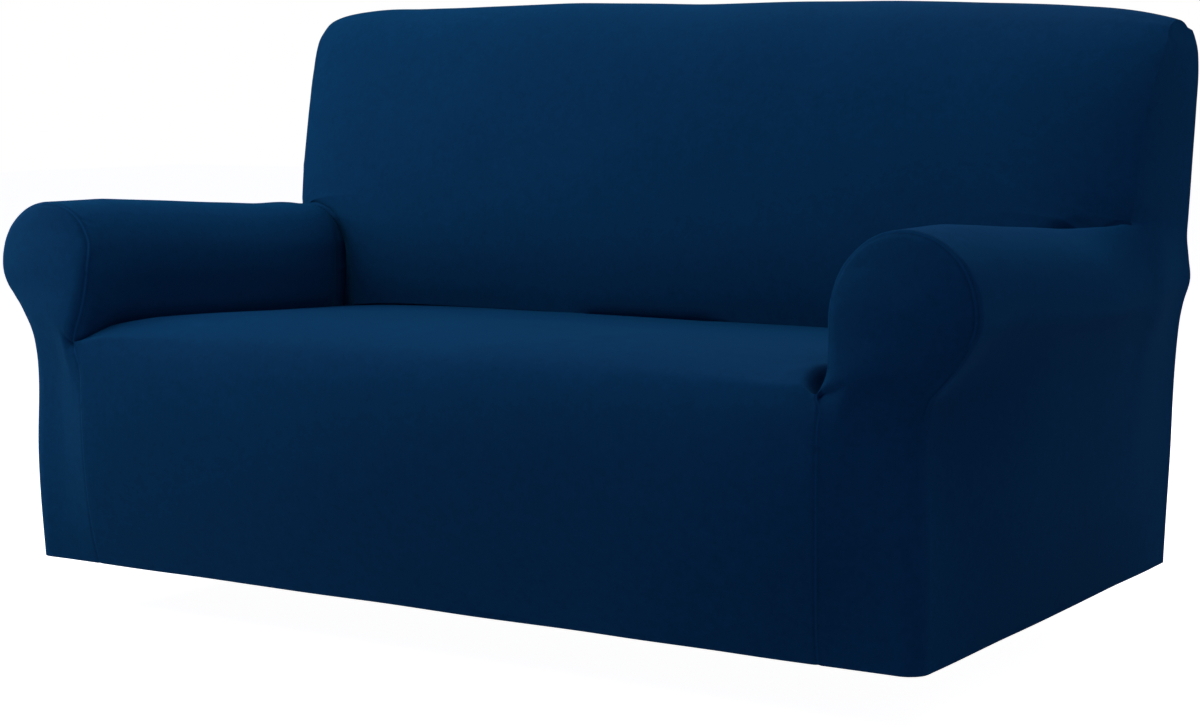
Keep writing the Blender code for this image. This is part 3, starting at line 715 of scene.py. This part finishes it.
def knit_lengths(grid):
    """Distances along and across a grid, in metres, as its texture coordinates."""
    across = np.linalg.norm(np.diff(grid, axis=1), axis=2).mean(axis=0)
    along = np.linalg.norm(np.diff(grid, axis=0), axis=2).mean(axis=1)
    u = np.concatenate([[0.0], np.cumsum(across)])
    v = np.concatenate([[0.0], np.cumsum(along)])
    return np.stack(np.meshgrid(u, v), axis=2)


def quads_of(grid):
    """Corners of a grid's quads, for points or numbers alike."""
    return np.stack([grid[:-1, :-1], grid[:-1, 1:], grid[1:, 1:], grid[1:, :-1]], axis=2)


def edges_of(quads):
    """Edges of the quads, the edge of each quad's sides, and how many quads use each edge."""
    sides = np.stack([quads, np.roll(quads, -1, axis=1)], axis=2).reshape(-1, 2)
    edges, number, uses = np.unique(
        np.sort(sides, axis=1), axis=0, return_inverse=True, return_counts=True)
    return edges, number.reshape(quads.shape), uses


def sum_at(places, values, count):
    """Sum of the rows of values that belong to each of so many places."""
    return np.stack([np.bincount(places, column, count) for column in values.T], axis=1)


def weld():
    """Points, quads, each quad's panel, its corners' lengths in the knit, and panels' names."""
    points, quads, owner, lengths, names = [], [], [], [], []
    count = 0
    for name, grids in panels().items():
        names.append(name)
        for grid in grids:
            number = count + np.arange(grid.shape[0] * grid.shape[1]).reshape(grid.shape[:2])
            count += number.size
            points.append(uneven(grid).reshape(-1, 3))
            quads.append(quads_of(number).reshape(-1, 4))
            lengths.append(quads_of(knit_lengths(grid)).reshape(-1, 4, 2))
            owner.append(np.full(len(quads[-1]), len(names) - 1))
    points = np.concatenate(points)
    _, first, same = np.unique(np.round(points * WELD_STEPS).astype(np.int64), axis=0,
                               return_index=True, return_inverse=True)
    quads = same.reshape(-1)[np.concatenate(quads)]
    return points[first], quads, np.concatenate(owner), np.concatenate(lengths), names


class Surface:
    """The welded surface with its edges and the lines that keep their place: seams and hem."""

    def __init__(self):
        self.points, self.quads, self.owner, self.lengths, self.names = weld()
        self.kinds = [kind_of(name) for name in self.names]
        self.edges, number, uses = edges_of(self.quads)
        low = np.full(len(self.edges), len(self.names))
        high = np.full(len(self.edges), -1)
        np.minimum.at(low, number, self.owner[:, None])
        np.maximum.at(high, number, self.owner[:, None])
        self.pair = np.stack([low, high], axis=1)
        self.is_seam = low != high
        fold = (np.abs(self.points[self.edges, 2]) < LEVEL).all(axis=1)
        self.is_line = self.is_seam | (uses == 1) | fold

    def mean_of_neighbours(self, edges, values):
        """Mean over the neighbours along these edges, and how many there are."""
        count = len(self.points)
        met = np.bincount(edges.reshape(-1), minlength=count)
        total = sum(sum_at(edges[:, k], values[edges[:, 1 - k]], count) for k in range(2))
        return total / np.maximum(met, 1)[:, None], met

    def sum_of_quads(self, values):
        """Sum of the values of the quads round each point."""
        return sum(sum_at(self.quads[:, k], values, len(self.points)) for k in range(4))

    def points_on(self, kind):
        """Which points lie on panels of this kind; on a seam, the later panel has them."""
        panel_of = np.full(len(self.points), -1)
        panel_of[self.quads] = self.owner[:, None]
        return np.isin(panel_of, [i for i, own in enumerate(self.kinds) if own == kind])

    def smooth_out(self, rounds):
        """Evens out the surface along its normals and its lines along themselves."""
        line_edges = self.edges[self.is_line]
        on_line = np.zeros(len(self.points), bool)
        on_line[line_edges] = True
        for part in EVENING * rounds:
            mean, met = self.mean_of_neighbours(line_edges, self.points)
            inner = on_line & (met == 2)
            self.points[inner] += part * (mean - self.points)[inner]
            mean, _ = self.mean_of_neighbours(self.edges, self.points)
            normal = self.normals()[0]
            way = ((mean - self.points) * normal).sum(axis=1)[:, None] * normal
            self.points[~on_line] += part * way[~on_line]

    def normals(self):
        """Unit normals of the points, and of the quads with their areas."""
        a, b, c, d = (self.points[self.quads[:, k]] for k in range(4))
        face = np.cross(c - a, d - b)
        return unit(self.sum_of_quads(face)), unit(face), np.linalg.norm(face, axis=1) / 2

    def inwards(self):
        """For each point, the way to the inner side of the cloth, mitred where panels meet."""
        _, face, area = self.normals()
        weighed = area[:, None] * face
        products = (weighed[:, :, None] * face[:, None, :]).reshape(-1, 9)
        total = self.sum_of_quads(weighed)
        squares = self.sum_of_quads(products).reshape(-1, 3, 3)
        trace = np.trace(squares, axis1=1, axis2=2)[:, None, None]
        steady = squares + np.eye(3) * (trace * STEADYING + TINY)
        ways = -CLOTH * np.linalg.solve(steady, total[:, :, None])[:, :, 0]
        length = np.linalg.norm(ways, axis=1)[:, None]
        return ways * np.minimum(1.0, MITRE_LIMIT * CLOTH / length)


# -------- seams, creases, unevenness
def seam_points(surface, wanted):
    """Points close together on the seams between the two wanted kinds of panel."""
    kept = [k for k in np.flatnonzero(surface.is_seam)
            if {surface.kinds[panel] for panel in surface.pair[k]} == wanted]
    ends = surface.points[surface.edges[kept]]
    shares = np.arange(SEAM_SHARES) / SEAM_SHARES
    return np.concatenate([ends[:, 0] * (1 - t) + ends[:, 1] * t for t in shares])


def distance_to(points, others):
    """Distance from each point to the nearest of the others."""
    tree = kdtree.KDTree(len(others))
    for i, point in enumerate(others):
        tree.insert(point, i)
    tree.balance()
    return np.array([tree.find(point)[2] for point in points])


def bell(value, width):
    """1 at 0, falling softly to nearly 0 at twice this width."""
    return np.exp(-(value / width) ** 2)


def waves(points, size):
    """Soft noise between -1 and 1, as long as this size."""
    return np.array([noise.noise(Vector(point)) for point in points / size])


def along_line(points, places):
    """Distance from a line through the places, and the way along it from 0 to 1, for points."""
    places = np.array(places)
    steps = np.linalg.norm(np.diff(places, axis=0), axis=1)
    nearest = np.full(len(points), np.inf)
    way = np.zeros(len(points))
    gone = 0.0
    for start, end, length in zip(places[:-1], places[1:], steps):
        share = np.clip((points - start) @ (end - start) / length ** 2, 0.0, 1.0)
        away = np.linalg.norm(points - start - share[:, None] * (end - start), axis=1)
        closer = away < nearest
        nearest[closer] = away[closer]
        way[closer] = (gone + share[closer] * length) / steps.sum()
        gone += length
    return nearest, way


def pressed_in(points):
    """Moves of the points where the cloth is pushed in, with a crisp rim round each dent."""
    moves = np.zeros_like(points)
    for dent in np.array(DENTS):
        away = (((points - dent[0:3]) / dent[3:6]) ** 2).sum(axis=1)
        moves += np.exp(-away ** 2)[:, None] * dent[6:9]
    return moves


def seam_distances(surface):
    """Distance of every point from the seams between each two kinds of panel."""
    tables = SEAM_LINES, SEAM_MARKS, CREVICES
    pairs = {frozenset(row[:2]) for table in tables for row in table}
    return {pair: distance_to(surface.points, seam_points(surface, pair)) for pair in pairs}


def seam_marks(surface, away):
    """Distance from the nearest seam that shows as a line, and how far that line stands out."""
    nearest = np.full(len(surface.points), SEAM_FAR)
    stands = np.zeros(len(surface.points))
    rise = OUTER_SIDE_RISE * fade(np.abs(surface.points[:, 0]), OUTER_SIDE)
    upper = fade(surface.points[:, 2] - rise, SCROLL_SEAM_HEIGHTS)
    for first, second, above, below in SEAM_MARKS:
        own = away[frozenset((first, second))]
        stands = np.where(own < nearest, below + (above - below) * upper, stands)
        nearest = np.minimum(own, nearest)
    return nearest, stands


def detail(surface, away):
    """Height of the seams, creases and soft unevenness above the smooth surface, at its points."""
    points = surface.points
    height = UNDULATION * waves(points, UNDULATION_SIZE)
    pucker = 1.0 + PUCKER * waves(points, PUCKER_SIZE)
    scroll = away[frozenset(("arm", "arm_front"))]
    on_front = surface.points_on("arm_front")
    upper = fade(points[:, 2], SCROLL_SEAM_HEIGHTS)
    ridge = SEAM_RIDGE * bell(scroll - SEAM_RIDGE_AT, SEAM_RIDGE_WIDTH) * ~on_front
    groove = SEAM_GROOVE * bell(scroll - SEAM_GROOVE_AT, SEAM_GROOVE_WIDTH) * on_front
    height += (ridge - groove) * pucker * (LOWER_SEAM + (1.0 - LOWER_SEAM) * upper)
    for first, second, depth, width in SEAM_LINES:
        height -= depth * bell(away[frozenset((first, second))], width) * pucker
    for first, second, side, depth, reach, axis, *ends in CREVICES:
        near = np.exp(-away[frozenset((first, second))] / reach)
        if side != "both":
            near *= surface.points_on(side)
        height -= depth * near * fade(points[:, axis], ends)
    for width, rise, places in CREASES:
        aside, way = along_line(points, places)
        height += rise * bell(aside, width) * np.sin(math.pi * way) ** CREASE_TAPER
    return height


# -------- the panels as sheets
def seam_allowance(points, ends, normals):
    """Move that takes the outline's points a little inwards, clear of the next panel's."""
    across = unit(np.cross(normals, points[ends[1]] - points[ends[0]]))
    return SEAM_INSET * unit(sum(sum_at(places, across, len(points)) for places in ends))


def as_sheet(surface, own, ways, normals):
    """One panel's closed sheet: points, quads, their corners' lengths, and the points used."""
    quads = surface.quads[own]
    lengths = surface.lengths[own]
    _, number, uses = edges_of(quads)
    row, corner = np.nonzero(uses[number] == 1)
    following = (corner + 1) % 4
    ends = quads[row, corner], quads[row, following]
    moved = surface.points + seam_allowance(surface.points, ends, normals[own][row])
    used, local = np.unique(quads, return_inverse=True)
    local = local.reshape(quads.shape)
    under = len(used)              # the inner side's points follow the outer's
    outer = moved[used] - ORIGIN
    a, b = local[row, corner], local[row, following]
    rim = np.stack([b, a, a + under, b + under], axis=1)
    at_a, at_b = lengths[row, corner], lengths[row, following]
    rim_lengths = np.stack([at_b, at_a, at_a, at_b], axis=1)
    faces = np.concatenate([local, local[:, ::-1] + under, rim])
    at_corners = np.concatenate([lengths, lengths[:, ::-1], rim_lengths])
    return np.concatenate([outer, outer + ways[used]]), faces, at_corners, used


def make_panel(surface, number, ways, normals, marks, material):
    """One panel as a thin sheet that rides on the frame in place of its CAD solid."""
    name = surface.names[number]
    points, faces, at_corners, used = as_sheet(surface, surface.owner == number, ways, normals)
    mesh = bpy.data.meshes.new("knit_" + name)
    mesh.from_pydata(points.tolist(), [], faces.tolist())
    mesh.update()
    layer = mesh.uv_layers.new(name="knit")
    layer.data.foreach_set("uv", at_corners.reshape(-1).astype(np.float32))
    for label, values in zip(MARK_LABELS, marks):
        made = mesh.attributes.new(label, "FLOAT", "POINT")
        made.data.foreach_set("value", np.tile(values[used], 2).astype(np.float32))
    mesh.shade_smooth()
    mesh.set_sharp_from_angle(angle=SHARP_ANGLE)
    mesh.materials.append(material)
    panel = bpy.data.objects.new("knit_" + name, mesh)
    bpy.context.scene.collection.objects.link(panel)
    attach(panel, "root")
    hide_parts(name)


# -------- material
def feed(tree, node, inputs):
    """Sets a node's inputs, or links them to the outputs that are given in place of values."""
    for label, value in inputs.items():
        if isinstance(value, bpy.types.NodeSocket):
            tree.links.new(value, node.inputs[label])
        else:
            node.inputs[label].default_value = value


def add_node(tree, kind, **inputs):
    """New node with these inputs."""
    made = tree.nodes.new(kind)
    feed(tree, made, inputs)
    return made


def add_math(tree, operation, *values):
    """Result of a new math node on values or outputs."""
    made = tree.nodes.new("ShaderNodeMath")
    made.operation = operation
    feed(tree, made, dict(enumerate(values)))
    return made.outputs[0]


def add_noise(tree, size, fineness):
    """Noise with spots of this size, on the object's own coordinates."""
    where = tree.nodes.new("ShaderNodeTexCoord").outputs["Object"]
    made = add_node(tree, "ShaderNodeTexNoise", Vector=where, Scale=1 / size, Detail=fineness)
    return made.outputs["Fac"]


def add_bands(tree, direction, width):
    """Bands across one of the cloth's own directions."""
    cloth = tree.nodes.new("ShaderNodeUVMap")
    cloth.uv_map = "knit"
    made = add_node(tree, "ShaderNodeTexWave", Vector=cloth.outputs["UV"],
                    Scale=WAVE_PERIOD / width, Distortion=LOOP_DISTORTION, Detail=LOOP_DETAIL)
    made.wave_profile = "SIN"
    made.bands_direction = direction
    return made.outputs["Fac"]


def add_seam_relief_and_highlight(tree):
    """The sewn lines as a ridge less a moat, from the two numbers for them at each point of the
    mesh, for the relief and for a painted highlight and shade in the colour.
    """
    away, stands = (tree.nodes.new("ShaderNodeAttribute") for _ in MARK_LABELS)
    away.attribute_name, stands.attribute_name = MARK_LABELS
    squared = add_math(tree, "POWER", away.outputs["Fac"], 2.0)
    seam_relief_and_highlight = 0.0
    for width, share in ((SEAM_MARK_WIDTH, SEAM_MARK_SHARE), (SEAM_MOAT_WIDTH, -SEAM_MOAT_SHARE)):
        falling = add_math(tree, "EXPONENT", add_math(tree, "DIVIDE", squared, -width ** 2))
        seam_relief_and_highlight = add_math(tree, "MULTIPLY_ADD", falling, share, seam_relief_and_highlight)
    return add_math(tree, "MULTIPLY", seam_relief_and_highlight, stands.outputs["Fac"])


def knit():
    """Fine stretch knit: dark blue, matte, with a soft sheen, faint loops, a little mottling and a
    painted highlight along its sewn lines.
    """
    material = bpy.data.materials.new("dark_blue_knit")
    material.use_nodes = True
    tree = material.node_tree
    loops = add_math(tree, "MULTIPLY", add_bands(tree, "X", WALE_WIDTH),
                     add_bands(tree, "Y", COURSE_HEIGHT))
    seam_relief_and_highlight = add_seam_relief_and_highlight(tree)

    parts = [(add_noise(tree, size, fineness), share) for size, fineness, share in TONES]
    tone = TONE_SHIFT
    # the sewn lines go into the tone as a painted highlight on their ridge and painted shade in
    # their moat
    for part, share in parts + [(loops, KNIT_TONE), (seam_relief_and_highlight, SEAM_PAINTED_HIGHLIGHT)]:
        tone = add_math(tree, "MULTIPLY_ADD", part, share, tone)
    colour = tree.nodes.new("ShaderNodeMix")
    colour.data_type = "RGBA"
    feed(tree, colour, {0: tone})
    ends = [socket for socket in colour.inputs if socket.type == "RGBA"]
    for socket, blue in zip(ends, (DARK_BLUE, LIGHT_BLUE)):
        socket.default_value = (*blue, 1.0)

    fibres = add_noise(tree, FIBRE_SIZE, FIBRE_DETAIL)
    relief = loops
    for part, share in ((fibres, FIBRE_SHARE), (seam_relief_and_highlight, SEAM_MARK_RELIEF)):
        relief = add_math(tree, "MULTIPLY_ADD", part, share, relief)
    bump = add_node(tree, "ShaderNodeBump",
                    Strength=BUMP_STRENGTH, Distance=KNIT_RELIEF, Height=relief)
    feed(tree, tree.nodes["Principled BSDF"], {
        "Base Color": next(socket for socket in colour.outputs if socket.type == "RGBA"),
        "Roughness": ROUGHNESS,
        "Specular IOR Level": SPECULAR,
        "Sheen Weight": SHEEN,
        "Sheen Roughness": SHEEN_ROUGHNESS,
        "Sheen Tint": (*SHEEN_TINT, 1.0),
        "Normal": bump.outputs["Normal"],
    })
    return material


# -------- floor, light, camera
def make_floor():
    """Pale matte floor, lit up a little more where the camera sees it."""
    half = FLOOR_SIZE / 2
    mesh = bpy.data.meshes.new("floor")
    corners = [(-half, -half), (half, -half), (half, half), (-half, half)]
    mesh.from_pydata([(x, y, FLOOR_HEIGHT) for x, y in corners], [], [(0, 1, 2, 3)])
    material = bpy.data.materials.new("pale_floor")
    material.use_nodes = True
    tree = material.node_tree
    seen = tree.nodes.new("ShaderNodeLightPath").outputs["Is Camera Ray"]
    feed(tree, tree.nodes["Principled BSDF"], {
        "Base Color": (*FLOOR_COLOUR, 1.0),
        "Roughness": FLOOR_ROUGHNESS,
        "Specular IOR Level": 0.0,
        "Emission Color": (*WHITE, 1.0),
        "Emission Strength": add_math(tree, "MULTIPLY", seen, FLOOR_GLOW),
    })
    mesh.materials.append(material)
    floor = bpy.data.objects.new("floor", mesh)
    bpy.context.scene.collection.objects.link(floor)


def make_world():
    """A white backdrop for the camera, and a dim even light for everything else."""
    world = bpy.data.worlds.new("studio")
    world.use_nodes = True
    tree = world.node_tree
    backdrop = tree.nodes["Background"]
    feed(tree, backdrop, {"Color": (*WHITE, 1.0)})
    ambient = add_node(tree, "ShaderNodeBackground", Color=(*AMBIENT, 1.0))
    seen = tree.nodes.new("ShaderNodeLightPath").outputs["Is Camera Ray"]
    mix = tree.nodes.new("ShaderNodeMixShader")
    feed(tree, mix, {0: seen, 1: ambient.outputs[0], 2: backdrop.outputs[0]})
    feed(tree, tree.nodes["World Output"], {"Surface": mix.outputs[0]})
    bpy.context.scene.world = world


def make_lights():
    """Soft discs round the cover, which the camera doesn't see."""
    for name, where, power in LIGHTS:
        light = bpy.data.lights.new(name, "AREA")
        light.shape = "DISK"
        light.size = LIGHT_WIDTH
        light.energy = power
        lamp = bpy.data.objects.new(name, light)
        lamp.location = where
        comes_from = Vector(where) - Vector(LIGHTS_AIM)
        lamp.rotation_euler = comes_from.to_track_quat("Z", "Y").to_euler()
        lamp.visible_camera = False
        bpy.context.scene.collection.objects.link(lamp)


def make_camera():
    """Camera at the photograph's place and viewing angle."""
    yaw, pitch, roll = CAMERA_YAW, CAMERA_PITCH, CAMERA_ROLL
    level = math.cos(pitch)
    ahead = Vector((-math.sin(yaw) * level, math.cos(yaw) * level, -math.sin(pitch)))
    right = Vector((math.cos(yaw), math.sin(yaw), 0.0))
    up = right.cross(ahead)
    turned_right = math.cos(roll) * right + math.sin(roll) * up
    turned_up = math.cos(roll) * up - math.sin(roll) * right
    lens = bpy.data.cameras.new("camera")
    lens.lens = CAMERA_LENS
    lens.sensor_fit = "HORIZONTAL"
    lens.sensor_width = CAMERA_SENSOR
    camera = bpy.data.objects.new("camera", lens)
    turn = Matrix((turned_right, turned_up, -ahead)).transposed().to_4x4()
    camera.matrix_world = Matrix.Translation(CAMERA_PLACE) @ turn
    bpy.context.scene.collection.objects.link(camera)
    bpy.context.scene.camera = camera


def main():
    """Builds the look round the frame."""
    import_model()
    make_camera()
    surface = Surface()
    surface.smooth_out(EVENING_ROUNDS)
    away = seam_distances(surface)
    marks = seam_marks(surface, away)
    surface.points += surface.normals()[0] * detail(surface, away)[:, None]
    surface.points += pressed_in(surface.points)
    ways = surface.inwards()
    normals = surface.normals()[1]
    material = knit()
    for number in range(len(surface.names)):
        make_panel(surface, number, ways, normals, marks, material)
    make_floor()
    make_world()
    make_lights()
    bpy.context.scene.view_settings.view_transform = "Standard"


main()
